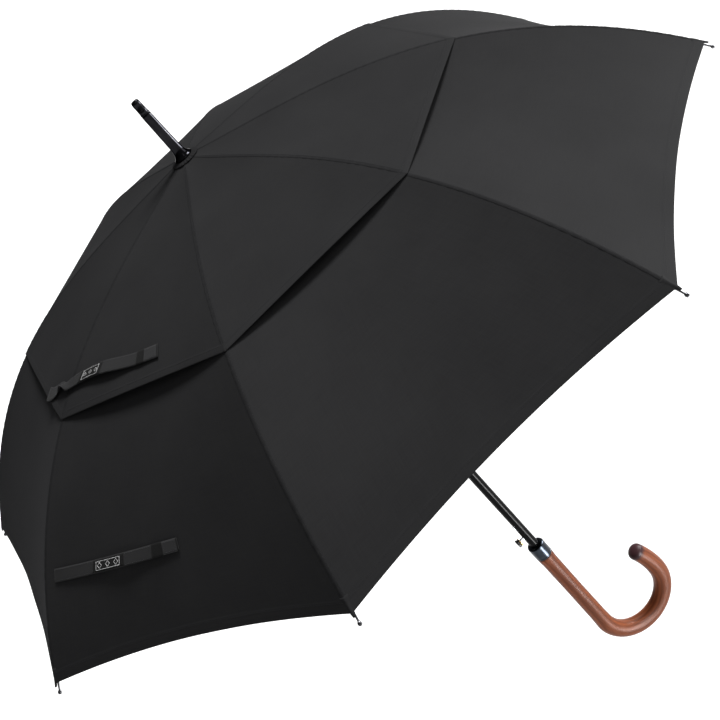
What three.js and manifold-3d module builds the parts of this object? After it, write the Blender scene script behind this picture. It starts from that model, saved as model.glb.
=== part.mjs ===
// Stick umbrella with a double (vented) canopy, eight ribs, a push-button runner catch and a crook handle.
// Millimetres, +Z along the shaft towards the ferrule, origin on the shaft's axis at the middle of the grip.
// The crook lies in the XZ plane and opens upwards on the +X side. The umbrella is drawn open and latched.
import * as THREE from "three";
import { mergeVertices } from "three/addons/utils/BufferGeometryUtils.js";
import Module from "manifold-3d";

const wasm = await Module();
wasm.setup();

// ---- driving dimensions ----
const RIBS = 8;
const FIRST_RIB_DEG = -67.5;
const GAP = 0.3; // clearance between touching pieces

const CANOPY_RADIUS = 560; // shaft axis to a fabric corner
const CANOPY_TOP = 880; // height of the canopy's centre above the grip
const CANOPY_SLOPE = 0.16; // fall of a rib = slope r + ease r^2 + droop r^3, with r as a share of the radius
const CANOPY_EASE = -0.126;
const CANOPY_DROOP = 0.436;
const FABRIC = 0.9;
const LOWER_INNER = 224; // where the lower canopy starts, under the vent
const LOWER_SAG = 8; // how far a lower panel dips between two ribs
const HEM_SCALLOP = 9; // how much shorter a lower panel is at its middle
const VENT_RADIUS = 334; // corners of the upper canopy
const UPPER_INNER = 13.5;
const UPPER_SAG = 2;
const UPPER_LIFT = 0.4;

const PIVOT_RADIUS = 12.3; // hinge circle of the crown and of the runner
const CROWN_PIVOT = 873;
const RIB_TOP_DROP = 2.3; // rib's upper face below the fabric's upper face
const RIB_DEPTH = 3;
const RIB_WIDTH = 3.6;
const RIB_WALL = 0.8;
const RIB_END_RADIUS = 549;
const JOINT_RADIUS = 350; // where a stretcher meets its rib
const JOINT_DROP = 8.3; // rib joint's centre below the fabric's upper face
const BLADE = 2; // thickness of the flat ends that turn in the slots
const SLOT = 2.8;

const SHAFT_RADIUS = 7;
const SHAFT_BORE = 6;
const SHAFT_LOW = 14;
const SHAFT_HIGH = 884;

const CATCH_BASE = 147; // lower face of the catch that holds the closed runner
const BUTTON_HEIGHT = 126.5;
const COLLAR_LOW = 80;
const COLLAR_HIGH = 106;
const COLLAR_RADIUS = 13.2;
const GRIP_RADIUS = 12;
const CROOK_THICKNESS = 13.7; // the wood's radius round the bend
const CROOK_RADIUS = 57.5;
const CROOK_START = -94;
const NOSE_BEND_RADIUS = 150;
const NOSE_BEND_DEG = 20;

const FERRULE_LOW = 881.8;
const FERRULE_HIGH = 968.5;

const root = new THREE.Group();
root.name = "stick_umbrella";

const material = (colour, roughness, metalness) =>
  new THREE.MeshStandardMaterial({ color: colour, roughness, metalness });
const FABRIC_BLACK = material(0x1c1c1e, 0.85, 0);
const STRAP_BLACK = material(0x242426, 0.8, 0);
const FRAME_BLACK = material(0x121214, 0.35, 0.6);
const SHAFT_BLACK = material(0x0d0d0f, 0.2, 0.5);
const PLASTIC_BLACK = material(0x151515, 0.5, 0);
const GUNMETAL = material(0x55585c, 0.15, 1);
const STEEL = material(0xb8bcc0, 0.3, 1);
const BRASS = material(0xc8a050, 0.25, 1);
const WOOD = material(0x7a3b26, 0.35, 0);

const rad = THREE.MathUtils.degToRad;

function add(name, geometry, mat) {
  const mesh = new THREE.Mesh(geometry, mat);
  mesh.name = name;
  root.add(mesh);
  return mesh;
}

// ---- solids ----
function solid(geometry) {
  const g = geometry.clone();
  g.deleteAttribute("normal");
  g.deleteAttribute("uv");
  const merged = mergeVertices(g, 1e-4);
  return new wasm.Manifold(
    new wasm.Mesh({
      numProp: 3,
      vertProperties: new Float32Array(merged.attributes.position.array),
      triVerts: new Uint32Array(merged.index.array),
    }),
  );
}

function geometryOf(made) {
  const m = made.getMesh();
  const xyz = new Float32Array(m.numVert * 3);
  for (let i = 0; i < m.numVert; i++) {
    xyz.set(m.vertProperties.subarray(i * m.numProp, i * m.numProp + 3), i * 3);
  }
  const g = new THREE.BufferGeometry();
  g.setAttribute("position", new THREE.BufferAttribute(xyz, 3));
  g.setIndex(new THREE.BufferAttribute(new Uint32Array(m.triVerts), 1));
  g.computeVertexNormals();
  return g;
}

const join = (first, ...others) =>
  geometryOf(others.reduce((made, o) => made.add(solid(o)), solid(first)));
const cut = (first, ...others) =>
  geometryOf(others.reduce((made, o) => made.subtract(solid(o)), solid(first)));

// A profile of [radius, height] pairs turned about Z, with its material on the left of its direction of travel.
function turned(profile, segments) {
  const points = profile.map(([r, z]) => new THREE.Vector2(r, z));
  const g = new THREE.LatheGeometry(points, segments);
  g.rotateX(Math.PI / 2);
  g.scale(1, -1, 1);
  return outward(g);
}

// Turns every face round if the closed geometry encloses a negative volume.
function outward(geometry) {
  const g = geometry;
  g.deleteAttribute("normal");
  g.deleteAttribute("uv");
  const merged = mergeVertices(g, 1e-4);
  const p = merged.attributes.position;
  const ix = merged.index.array;
  const a = new THREE.Vector3();
  const b = new THREE.Vector3();
  const c = new THREE.Vector3();
  let volume = 0;
  for (let i = 0; i < ix.length; i += 3) {
    a.fromBufferAttribute(p, ix[i]);
    b.fromBufferAttribute(p, ix[i + 1]);
    c.fromBufferAttribute(p, ix[i + 2]);
    volume += a.dot(b.cross(c));
  }
  const kept = [];
  for (let i = 0; i < ix.length; i += 3) {
    const t = [ix[i], ix[i + 1], ix[i + 2]];
    if (t[0] === t[1] || t[1] === t[2] || t[0] === t[2]) continue;
    kept.push(...(volume < 0 ? [t[0], t[2], t[1]] : t));
  }
  merged.setIndex(kept);
  merged.computeVertexNormals();
  return merged;
}

const ring = (inner, outer, low, high, segments) =>
  turned([[inner, low], [outer, low], [outer, high], [inner, high], [inner, low]], segments);

function block(sx, sy, sz, x, y, z) {
  const g = new THREE.BoxGeometry(sx, sy, sz);
  g.translate(x, y, z);
  return g;
}

function rod(radius, length, segments) {
  return new THREE.CylinderGeometry(radius, radius, length, segments);
}

// A closed body from rings of points: each ring has the same number of points, and the first and last are capped.
function skinned(rings) {
  const n = rings[0].length;
  const xyz = rings.flat().flatMap((p) => [p.x, p.y, p.z]);
  const faces = [];
  for (let i = 0; i + 1 < rings.length; i++) {
    for (let j = 0; j < n; j++) {
      const a = i * n + j;
      const b = i * n + ((j + 1) % n);
      faces.push(a, b, a + n, b, b + n, a + n);
    }
  }
  const flat = rings[0].capOrder ?? null;
  const caps = flat ?? fan(n);
  const last = (rings.length - 1) * n;
  for (const [a, b, c] of caps) {
    faces.push(a, c, b);
    faces.push(last + a, last + b, last + c);
  }
  const g = new THREE.BufferGeometry();
  g.setAttribute("position", new THREE.Float32BufferAttribute(xyz, 3));
  g.setIndex(faces);
  return outward(g);
}

function fan(n) {
  return Array.from({ length: n - 2 }, (_, i) => [0, i + 1, i + 2]);
}

// ---- canopy shape ----
function fall(r) {
  const s = r / CANOPY_RADIUS;
  return CANOPY_RADIUS * (CANOPY_SLOPE * s + CANOPY_EASE * s * s + CANOPY_DROOP * s * s * s);
}

function slopeAngle(r) {
  const s = r / CANOPY_RADIUS;
  return Math.atan(CANOPY_SLOPE + 2 * CANOPY_EASE * s + 3 * CANOPY_DROOP * s * s);
}

const HALF_PANEL = Math.PI / RIBS;

// A point of the canopy beside the rib that lies along +X: t is 0 on the rib and -1 or 1 at the middle of a panel.
// Depth is measured inwards from the fabric's upper face.
function panelPoint(r, t, depth) {
  const across = Math.abs(t);
  const x = r * (1 - across * Math.sin(HALF_PANEL) ** 2);
  const y = r * t * Math.sin(HALF_PANEL) * Math.cos(HALF_PANEL);
  const tilt = slopeAngle(r);
  const turn = HALF_PANEL * t;
  return new THREE.Vector3(
    x - depth * Math.sin(tilt) * Math.cos(turn),
    y - depth * Math.sin(tilt) * Math.sin(turn),
    CANOPY_TOP - fall(r) - depth * Math.cos(tilt),
  );
}

const bulge = (t) => Math.abs(t) * (2 - Math.abs(t));
const lowerSag = (t) => LOWER_SAG * bulge(t);
const upperSag = (r, t) => {
  const s = r / VENT_RADIUS;
  return 4 * UPPER_SAG * s * (1 - s) * bulge(t);
};

// A thin closed shell over a grid of (row, column) values.
function shell(rows, columns, point, thickness) {
  const xyz = [];
  for (const depth of [0, thickness]) {
    for (const u of rows) {
      for (const v of columns) {
        const p = point(u, v, depth);
        xyz.push(p.x, p.y, p.z);
      }
    }
  }
  const w = columns.length;
  const h = rows.length;
  const base = w * h;
  const faces = [];
  for (let i = 0; i + 1 < h; i++) {
    for (let j = 0; j + 1 < w; j++) {
      const a = i * w + j;
      faces.push(a, a + 1, a + w, a + 1, a + w + 1, a + w);
      faces.push(base + a, base + a + w, base + a + 1);
      faces.push(base + a + 1, base + a + w, base + a + w + 1);
    }
  }
  const border = [];
  for (let j = 0; j + 1 < w; j++) border.push([j + 1, j]);
  for (let i = 0; i + 1 < h; i++) border.push([i * w, (i + 1) * w]);
  for (let j = 0; j + 1 < w; j++) border.push([(h - 1) * w + j, (h - 1) * w + j + 1]);
  for (let i = 0; i + 1 < h; i++) border.push([(i + 2) * w - 1, (i + 1) * w - 1]);
  for (const [a, b] of border) faces.push(a, b, base + a, b, base + b, base + a);
  const g = new THREE.BufferGeometry();
  g.setAttribute("position", new THREE.Float32BufferAttribute(xyz, 3));
  g.setIndex(faces);
  return outward(g);
}

// Rows of the sheets and of the ribs under them fall at the same radii, so that their facets stay apart.
const UPPER_ROWS = [UPPER_INNER, 60, 110, 165, LOWER_INNER, 266, 308, VENT_RADIUS];
const RIB_ROWS = [25, 60, 110, 165, LOWER_INNER, 266, 308, 350, 392, 434, 476, 518, RIB_END_RADIUS];

const steps = (low, high, n) => Array.from({ length: n + 1 }, (_, i) => low + ((high - low) * i) / n);
const ribAngle = (k) => rad(FIRST_RIB_DEG + (360 / RIBS) * (k - 1));
const acrossWidth = (r) => r * Math.sin(HALF_PANEL) * Math.cos(HALF_PANEL);

function lowerGore() {
  const point = (u, v, depth) => {
    const hem = CANOPY_RADIUS - HEM_SCALLOP * bulge(v);
    const r = LOWER_INNER + (hem - LOWER_INNER) * u;
    const t = v * (1 - GAP / acrossWidth(r));
    return panelPoint(r, t, depth + lowerSag(t));
  };
  return shell(steps(0, 1, 8), steps(-1, 1, 6), point, FABRIC);
}

function upperGore() {
  const point = (u, v, depth) => {
    const t = v * (1 - GAP / acrossWidth(u));
    return panelPoint(u, t, depth + upperSag(u, t) - UPPER_LIFT - FABRIC);
  };
  return shell(UPPER_ROWS, steps(-1, 1, 6), point, FABRIC);
}

// ---- frame of the canopy ----
const ribJoint = panelPoint(JOINT_RADIUS, 0, JOINT_DROP);
const RUNNER_PIVOT = 2 * ribJoint.z - CROWN_PIVOT; // both links are equally long, so the runner hangs as far below the joint

// Sweeps an XZ-plane path with a section of [across, up] pairs.
function bar(path, section, caps) {
  const rings = path.map((p, i) => {
    const before = path[Math.max(0, i - 1)];
    const after = path[Math.min(path.length - 1, i + 1)];
    const along = after.clone().sub(before).normalize();
    const up = new THREE.Vector3(-along.z, 0, along.x);
    return section.map(([y, h]) => new THREE.Vector3(p.x + up.x * h, y, p.z + up.z * h));
  });
  rings[0].capOrder = caps;
  return skinned(rings);
}

const rect = (w, h) => [[-w / 2, -h / 2], [w / 2, -h / 2], [w / 2, h / 2], [-w / 2, h / 2]];

function channelSection() {
  const w = RIB_WIDTH / 2;
  const d = RIB_DEPTH / 2;
  const i = w - RIB_WALL;
  const roof = d - RIB_WALL;
  return [[-w, -d], [-i, -d], [-i, roof], [i, roof], [i, -d], [w, -d], [w, d], [-w, d]];
}
const CHANNEL_CAPS = [[0, 1, 2], [0, 2, 7], [7, 2, 3], [7, 3, 6], [6, 3, 4], [6, 4, 5]];

function sideways(geometry, x, z) {
  geometry.translate(x, 0, z); // a cylinder's own axis is Y, across the rib
  return geometry;
}

function rib() {
  const centre = RIB_TOP_DROP + RIB_DEPTH / 2;
  const path = RIB_ROWS.map((r) => panelPoint(r, 0, centre));
  const channel = bar(path, channelSection(), CHANNEL_CAPS);
  const inner = panelPoint(29, 0, centre);
  const tab = bar(
    [
      new THREE.Vector3(PIVOT_RADIUS, 0, CROWN_PIVOT),
      new THREE.Vector3(PIVOT_RADIUS + 4, 0, CROWN_PIVOT + 0.1),
      inner,
    ],
    rect(BLADE, 2.6),
  );
  const eye = sideways(rod(2.1, BLADE, 10), PIVOT_RADIUS, CROWN_PIVOT);
  const hole = sideways(rod(0.95, 8, 8), PIVOT_RADIUS, CROWN_PIVOT);
  const under = panelPoint(JOINT_RADIUS, 0, RIB_TOP_DROP + RIB_DEPTH - 0.9);
  const lugs = [-1, 1].map((side) => {
    const tilt = slopeAngle(JOINT_RADIUS);
    const plate = block(7, 0.9, 6.4, 0, side * (SLOT / 2 + 0.45), 0);
    plate.rotateY(tilt);
    plate.translate((under.x + ribJoint.x) / 2 - 0.3, 0, (under.z + ribJoint.z) / 2 - 0.4);
    return plate;
  });
  const pin = sideways(rod(0.85, SLOT + 1.4, 8), ribJoint.x, ribJoint.z);
  const arm = solid(tab).add(solid(eye)).subtract(solid(hole));
  const made = [...lugs, pin].reduce((m, o) => m.add(solid(o)), solid(channel).add(arm));
  return geometryOf(made);
}

function stretcher() {
  const low = new THREE.Vector3(PIVOT_RADIUS, 0, RUNNER_PIVOT);
  const along = ribJoint.clone().sub(low);
  const length = along.length();
  along.normalize();
  const at = (s) => low.clone().addScaledVector(along, s);
  const blade = bar([at(0), at(length)], rect(BLADE, 3));
  const body = bar([at(15), at(length - 15)], [[-1.6, -1.4], [1.6, -1.4], [1.6, 1], [1, 1.6], [-1, 1.6], [-1.6, 1]]);
  const eyes = [
    sideways(rod(2.1, BLADE, 10), low.x, low.z),
    sideways(rod(2.3, BLADE, 10), ribJoint.x, ribJoint.z),
  ];
  const holes = [
    sideways(rod(0.95, 8, 8), low.x, low.z),
    sideways(rod(1.25, 8, 8), ribJoint.x, ribJoint.z),
  ];
  let made = solid(blade).add(solid(body));
  for (const e of eyes) made = made.add(solid(e));
  for (const h of holes) made = made.subtract(solid(h));
  return geometryOf(made);
}

function ribTip() {
  const centre = RIB_TOP_DROP + RIB_DEPTH / 2;
  const start = panelPoint(RIB_END_RADIUS + 0.2, 0, centre);
  const tilt = slopeAngle(CANOPY_RADIUS);
  const profile = [
    [0, 0.3],
    [1.9, 0.3],
    [1.9, 15],
    [1.2, 17],
    [1.2, 25.6],
    [2.3, 27.4],
    [1.8, 29.6],
    [0, 30.2],
  ];
  const g = turned(profile, 8);
  g.rotateY(Math.PI / 2 + tilt);
  g.translate(start.x, start.y, start.z);
  return g;
}

// ---- shaft group ----
// Rings that the blades turn in: slots run from outside to just short of the bore.
function notchedRing(inner, outer, low, high) {
  const body = ring(inner, outer, low, high, 32);
  const slots = Array.from({ length: RIBS }, (_, i) => {
    const s = block(12, SLOT, high - low + 2, 9.5 + 6, 0, (low + high) / 2);
    s.rotateZ(ribAngle(i + 1));
    return s;
  });
  return { body, slots };
}

const wireRing = (height, radius) => {
  const g = new THREE.TorusGeometry(PIVOT_RADIUS, radius, 4, 32);
  g.translate(0, 0, height);
  return outward(g);
};
const wireTunnel = (height) => ring(PIVOT_RADIUS - 0.9, PIVOT_RADIUS + 0.9, height - 0.8, height + 0.8, 32);

function shaft() {
  const tube = ring(SHAFT_BORE, SHAFT_RADIUS, SHAFT_LOW, SHAFT_HIGH, 32);
  return cut(
    tube,
    block(6, 4.6, 12.5, -7, 0, CATCH_BASE + 5.2),
    block(6, 4.6, 8, -7, 0, BUTTON_HEIGHT),
    block(6, 4.6, 8, -7, 0, RUNNER_BOTTOM - 3.2),
  );
}

const RUNNER_TOP = RUNNER_PIVOT + 7;
const RUNNER_BOTTOM = RUNNER_PIVOT - 58;
const STRETCH_LENGTH = ribJoint.distanceTo(new THREE.Vector3(PIVOT_RADIUS, 0, CROWN_PIVOT));
const OPEN_DROP = Math.asin((CROWN_PIVOT - ribJoint.z) / STRETCH_LENGTH);
const FOLD = rad(62);
const TRAVEL = 2 * STRETCH_LENGTH * (Math.sin(OPEN_DROP + FOLD) - Math.sin(OPEN_DROP));

function runner() {
  const inner = SHAFT_RADIUS + GAP;
  const barrel = turned(
    [
      [inner, RUNNER_BOTTOM],
      [8.7, RUNNER_BOTTOM],
      [9, RUNNER_BOTTOM + 0.6],
      [9, RUNNER_PIVOT - 7],
      [15.2, RUNNER_PIVOT - 6],
      [15.2, RUNNER_PIVOT + 5],
      [14, RUNNER_TOP],
      [inner, RUNNER_TOP],
      [inner, RUNNER_BOTTOM],
    ],
    32,
  );
  const { slots } = notchedRing(inner, 15.5, RUNNER_PIVOT - 8, RUNNER_TOP + 1);
  const window = block(6, 5, 15.6, -8, 0, CATCH_BASE - 0.4 + 7.8 + TRAVEL);
  return cut(barrel, ...slots, wireTunnel(RUNNER_PIVOT), window);
}

function crown() {
  const { body, slots } = notchedRing(SHAFT_RADIUS + GAP, 15.2, 863.5, 877);
  return cut(body, ...slots, wireTunnel(CROWN_PIVOT));
}

// A sprung strip inside the shaft with its shaped nose standing out through a slot, in the XZ plane.
function prism(outline, width) {
  const shape = new THREE.Shape(outline.map(([x, z]) => new THREE.Vector2(x, z)));
  const g = new THREE.ExtrudeGeometry(shape, { depth: width, bevelEnabled: false });
  g.translate(0, 0, -width / 2);
  g.rotateX(Math.PI / 2);
  return outward(g);
}

function releaseLever() {
  const strip = prism([[-4.3, 84], [-4.3, 157], [-5.1, 157], [-5.1, 84]], 4.8);
  const nose = prism(
    [
      [-4.8, CATCH_BASE],
      [-10.8, CATCH_BASE],
      [-9.6, CATCH_BASE + 3.5],
      [-5.8, CATCH_BASE + 10],
      [-4.8, CATCH_BASE + 10],
    ],
    3.6,
  );
  const stem = prism(
    [
      [-4.8, BUTTON_HEIGHT - 2.6],
      [-4.8, BUTTON_HEIGHT + 2.6],
      [-12.6, BUTTON_HEIGHT + 2.2],
      [-12.6, BUTTON_HEIGHT - 2.2],
    ],
    3.6,
  );
  return join(strip, nose, stem);
}

function topCatch() {
  const head = RUNNER_BOTTOM - GAP;
  const strip = prism([[-4.3, head - 42], [-4.3, head], [-5.1, head], [-5.1, head - 42]], 4.8);
  const nose = prism([[-4.8, head], [-4.8, head - 6], [-6.6, head - 6], [-10.2, head - 1.6], [-10.2, head]], 3.6);
  return join(strip, nose);
}

// The knob's axis lies along X: a turned shape laid over, so its height runs outwards from the shaft.
function outwards(profile, segments, from) {
  const g = turned(profile, segments);
  g.rotateY(-Math.PI / 2);
  g.translate(-from, 0, BUTTON_HEIGHT);
  return g;
}

function buttonKnob() {
  return outwards(
    [
      [0, 0],
      [4.4, 0],
      [6.6, 4.6],
      [6.6, 5.5],
      [6, 6.3],
      [0, 6.9],
    ],
    24,
    12.9,
  );
}

function buttonRim() {
  return outwards([[5.7, 0.4], [6.3, 0.4], [6.5, 1], [6.5, 1.6], [6.1, 2], [5.7, 2], [5.7, 0.4]], 24, 12.9);
}

function springCoil() {
  const turns = 12;
  const top = 863.5 - 1.2;
  const low = RUNNER_TOP + 1.2;
  const points = steps(0, turns, turns * 8).map((n) => {
    const a = 2 * Math.PI * n;
    const z = low + ((top - low) * n) / turns;
    return new THREE.Vector3(8.6 * Math.cos(a), 8.6 * Math.sin(a), z);
  });
  const rings = points.map((p, i) => {
    const before = points[Math.max(0, i - 1)];
    const after = points[Math.min(points.length - 1, i + 1)];
    const along = after.clone().sub(before).normalize();
    const out = new THREE.Vector3(p.x, p.y, 0).normalize();
    const up = along.clone().cross(out).normalize();
    return Array.from({ length: 4 }, (_, j) => {
      const a = (2 * Math.PI * j) / 4;
      return p.clone().addScaledVector(out, 0.7 * Math.cos(a)).addScaledVector(up, 0.7 * Math.sin(a));
    });
  });
  return skinned(rings);
}

function ferrule() {
  const wall = 5.95;
  return turned(
    [
      [SHAFT_RADIUS + GAP, FERRULE_LOW],
      [11.8, FERRULE_LOW],
      [12, FERRULE_LOW + 0.8],
      [10.6, FERRULE_LOW + 2.4],
      [8.6, FERRULE_LOW + 5.2],
      [7.2, FERRULE_LOW + 9.5],
      [6.6, FERRULE_LOW + 16],
      [wall, 948],
      [wall - 0.3, 948.4],
      [0, 948.4],
      [0, 888],
      [5.6, 887.4],
      [SHAFT_RADIUS + GAP, 885.4],
      [SHAFT_RADIUS + GAP, FERRULE_LOW],
    ],
    32,
  );
}

function ferruleCap() {
  return turned(
    [
      [0, 948.8],
      [5.6, 948.8],
      [5.9, 949.2],
      [5.55, 951],
      [5.3, 965.6],
      [4.9, 967.6],
      [4, FERRULE_HIGH],
      [0, FERRULE_HIGH],
    ],
    32,
  );
}

function topWasher() {
  return turned(
    [
      [SHAFT_RADIUS + GAP, 880.1],
      [17.5, 880.1],
      [18, 880.6],
      [16.8, 881.3],
      [SHAFT_RADIUS + GAP, 881.4],
      [SHAFT_RADIUS + GAP, 880.1],
    ],
    32,
  );
}

function collar() {
  const inner = SHAFT_RADIUS + GAP;
  return turned(
    [
      [inner, COLLAR_LOW],
      [COLLAR_RADIUS - 0.3, COLLAR_LOW],
      [COLLAR_RADIUS, COLLAR_LOW + 0.5],
      [COLLAR_RADIUS, COLLAR_HIGH - 1.2],
      [COLLAR_RADIUS - 0.8, COLLAR_HIGH],
      [inner, COLLAR_HIGH],
      [inner, COLLAR_LOW],
    ],
    40,
  );
}

function handle() {
  const spine = [];
  const grow = (s) => GRIP_RADIUS + (CROOK_THICKNESS - GRIP_RADIUS) * s;
  const place = (x, z, dx, dz, r) => spine.push({ x, z, dx, dz, r });
  place(0, COLLAR_LOW - GAP, 0, -1, 12.9);
  place(0, COLLAR_LOW - 6, 0, -1, 12.7);
  place(0, COLLAR_LOW - 14, 0, -1, GRIP_RADIUS);
  for (const z of [30, 0, -30, -62]) place(0, z, 0, -1, GRIP_RADIUS);
  place(0, -80, 0, -1, grow(0.5));
  for (const a of steps(0, 180, 14)) {
    const c = Math.cos(rad(a));
    const s = Math.sin(rad(a));
    place(CROOK_RADIUS * (1 - c), CROOK_START - CROOK_RADIUS * s, s, -c, grow(a < 5 ? 0.85 : 1));
  }
  for (const a of steps(0, NOSE_BEND_DEG, 4).slice(1)) {
    const c = Math.cos(rad(a));
    const s = Math.sin(rad(a));
    const x = 2 * CROOK_RADIUS - NOSE_BEND_RADIUS * (1 - c);
    place(x, CROOK_START + NOSE_BEND_RADIUS * s, -s, c, CROOK_THICKNESS - (0.6 * a) / NOSE_BEND_DEG);
  }
  const end = spine[spine.length - 1];
  for (const [out, shrink] of [[3.4, 0.96], [6.4, 0.83], [8.4, 0.6], [9.2, 0.32]]) {
    place(end.x + end.dx * out, end.z + end.dz * out, end.dx, end.dz, end.r * shrink);
  }
  const sides = 18;
  const rings = spine.map((p) =>
    Array.from({ length: sides }, (_, j) => {
      const a = (2 * Math.PI * j) / sides;
      const h = p.r * Math.cos(a);
      return new THREE.Vector3(p.x - p.dz * h, p.r * Math.sin(a), p.z + p.dx * h);
    }),
  );
  const bore = turned([[0, SHAFT_LOW - 1], [SHAFT_RADIUS + GAP, SHAFT_LOW - 1], [SHAFT_RADIUS + GAP, 90], [0, 90]], 32);
  return cut(skinned(rings), bore);
}

// ---- tie straps, laid along a panel at one height ----
function strap(angle, radius, width, from, to, layer, thickness, name, mat) {
  const point = (u, v, depth) => {
    const r = radius + (v - 0.5) * width;
    const t = from + (to - from) * u;
    const beyond = t > 1;
    const sag = layer === "upper" ? upperSag(r, t > 1 ? 2 - t : t) : lowerSag(t > 1 ? 2 - t : t);
    const lift = layer === "upper" ? UPPER_LIFT + FABRIC : 0;
    const p = panelPoint(r, beyond ? t - 2 : t, depth + sag - lift - GAP - 0.5 - thickness);
    if (beyond) p.applyAxisAngle(new THREE.Vector3(0, 0, 1), 2 * HALF_PANEL);
    return p;
  };
  const g = shell(steps(0, 1, 9), [0, 1], point, thickness);
  g.rotateZ(angle);
  return add(name, g, mat);
}

// ---- assembly ----
add("shaft", shaft(), SHAFT_BLACK);
add("ferrule", ferrule(), GUNMETAL);
add("ferrule_cap", ferruleCap(), GUNMETAL);
add("top_washer", topWasher(), FABRIC_BLACK);
add("crown", crown(), PLASTIC_BLACK);
add("crown_wire", wireRing(CROWN_PIVOT, 0.5), STEEL);
add("collar", collar(), GUNMETAL);
add("handle", handle(), WOOD);
add("top_catch", topCatch(), STEEL);
add("runner", runner(), PLASTIC_BLACK);
add("runner_wire", wireRing(RUNNER_PIVOT, 0.5), STEEL);
add("opening_spring", springCoil(), STEEL);
add("release_lever", releaseLever(), STEEL);
add("button_knob", buttonKnob(), PLASTIC_BLACK);
add("button_rim", buttonRim(), BRASS);

for (let k = 1; k <= RIBS; k++) {
  const parts = {
    rib: [rib(), FRAME_BLACK],
    stretcher: [stretcher(), FRAME_BLACK],
    rib_tip: [ribTip(), PLASTIC_BLACK],
    lower_gore: [lowerGore(), FABRIC_BLACK],
    upper_gore: [upperGore(), FABRIC_BLACK],
  };
  for (const [name, [geometry, mat]] of Object.entries(parts)) {
    geometry.rotateZ(ribAngle(k));
    add(`${name}_${k}`, geometry, mat);
  }
}

const seventh = ribAngle(7);
strap(seventh, 297, 16.4, 0.03, 1.145, "upper", 1.1, "strap_upper", STRAP_BLACK);
strap(seventh, 481, 11.2, 0.08, 1.025, "lower", 1.1, "strap_lower", STRAP_BLACK);

export default root;
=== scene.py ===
# Visual model of a stick umbrella with a layered canopy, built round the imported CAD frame.
# Metres, +Z along the shaft towards the ferrule; the crook lies in the XZ plane on the +X side.
import math

import bpy
import numpy as np
from mathutils import Matrix, Vector


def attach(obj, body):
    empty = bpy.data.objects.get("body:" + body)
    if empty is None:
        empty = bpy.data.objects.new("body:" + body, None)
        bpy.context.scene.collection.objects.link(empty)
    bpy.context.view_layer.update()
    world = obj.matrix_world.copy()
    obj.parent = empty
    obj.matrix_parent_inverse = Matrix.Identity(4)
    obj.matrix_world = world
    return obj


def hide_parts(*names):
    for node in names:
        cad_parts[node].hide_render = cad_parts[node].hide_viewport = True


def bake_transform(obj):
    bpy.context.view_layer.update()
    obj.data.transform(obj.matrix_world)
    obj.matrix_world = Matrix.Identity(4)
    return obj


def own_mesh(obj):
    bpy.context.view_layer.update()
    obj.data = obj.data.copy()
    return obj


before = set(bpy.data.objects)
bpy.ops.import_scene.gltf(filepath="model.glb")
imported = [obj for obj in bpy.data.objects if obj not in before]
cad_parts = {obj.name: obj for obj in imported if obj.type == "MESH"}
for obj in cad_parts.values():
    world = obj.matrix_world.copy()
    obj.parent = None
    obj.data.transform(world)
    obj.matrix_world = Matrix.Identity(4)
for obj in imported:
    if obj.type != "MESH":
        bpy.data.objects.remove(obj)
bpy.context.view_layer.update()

MM = 0.001


def add_object(name, data):
    made = bpy.data.objects.new(name, data)
    bpy.context.scene.collection.objects.link(made)
    return made


# ---- camera
def make_camera():
    place = Vector((-0.13762, -1.50794, 1.32541))
    right = Vector((0.71045, -0.36940, -0.59900))
    up = Vector((0.70094, 0.29545, 0.64915))
    back = Vector((-0.06281, -0.88105, 0.46883))
    data = bpy.data.cameras.new("camera")
    data.sensor_width = 36
    data.lens = 65.62
    data.shift_x = 0.0167
    data.shift_y = 0.0167
    data.clip_start = 0.05
    data.clip_end = 200
    camera = add_object("camera", data)
    turn = Matrix((right, up, back)).transposed().to_4x4()
    camera.matrix_world = Matrix.Translation(place) @ turn
    bpy.context.scene.camera = camera


make_camera()
bpy.context.scene.view_settings.view_transform = "Standard"


# ---- node materials
WAVE_PERIOD = 0.314  # length of one wave of the wave texture at scale 1
WOOD_DARK = (0.058, 0.0140, 0.0055)
WOOD_LIGHT = (0.310, 0.086, 0.031)
WOOD_PORE = (0.045, 0.014, 0.009)
# dark of the crook's nose: its end-grain stain together with painted shade of the rounded end
WOOD_NOSE_STAIN_AND_SHADE = (0.040, 0.017, 0.019)
RUBBED_METAL = (0.35, 0.35, 0.36)


def feed(socket, value):
    """Links another node's output to the socket, or sets its value."""
    if isinstance(value, bpy.types.NodeSocket):
        socket.id_data.links.new(value, socket)
    else:
        socket.default_value = (*value, 1) if socket.type == "RGBA" else value


def put(tree, kind, inputs=None, **settings):
    node = tree.nodes.new(kind)
    for key, value in settings.items():
        setattr(node, key, value)
    for key, value in (inputs or {}).items():
        feed(node.inputs[key], value)
    return node


def math_node(tree, operation, a, b):
    return put(tree, "ShaderNodeMath", {0: a, 1: b}, operation=operation).outputs[0]


def plus(a, b):
    return math_node(a.id_data, "ADD", a, b)


def times(a, b):
    return math_node(a.id_data, "MULTIPLY", a, b)


def span(value, low, high, to_low=0.0, to_high=1.0):
    inputs = {"Value": value, "From Min": low, "From Max": high, "To Min": to_low, "To Max": to_high}
    return put(value.id_data, "ShaderNodeMapRange", inputs).outputs[0]


def mix_colour(share, first, second):
    return put(share.id_data, "ShaderNodeMix", {0: share, 6: first, 7: second}, data_type="RGBA").outputs[2]


def noise(where, scale, detail=3.0, roughness=0.55):
    inputs = {"Vector": where, "Scale": scale, "Detail": detail, "Roughness": roughness}
    return put(where.id_data, "ShaderNodeTexNoise", inputs).outputs[0]


def stretched(where, scale):
    return put(where.id_data, "ShaderNodeMapping", {"Vector": where, "Scale": scale}).outputs[0]


def bump(height, strength, distance):
    inputs = {"Height": height, "Strength": strength, "Distance": distance}
    return put(height.id_data, "ShaderNodeBump", inputs).outputs[0]


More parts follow.
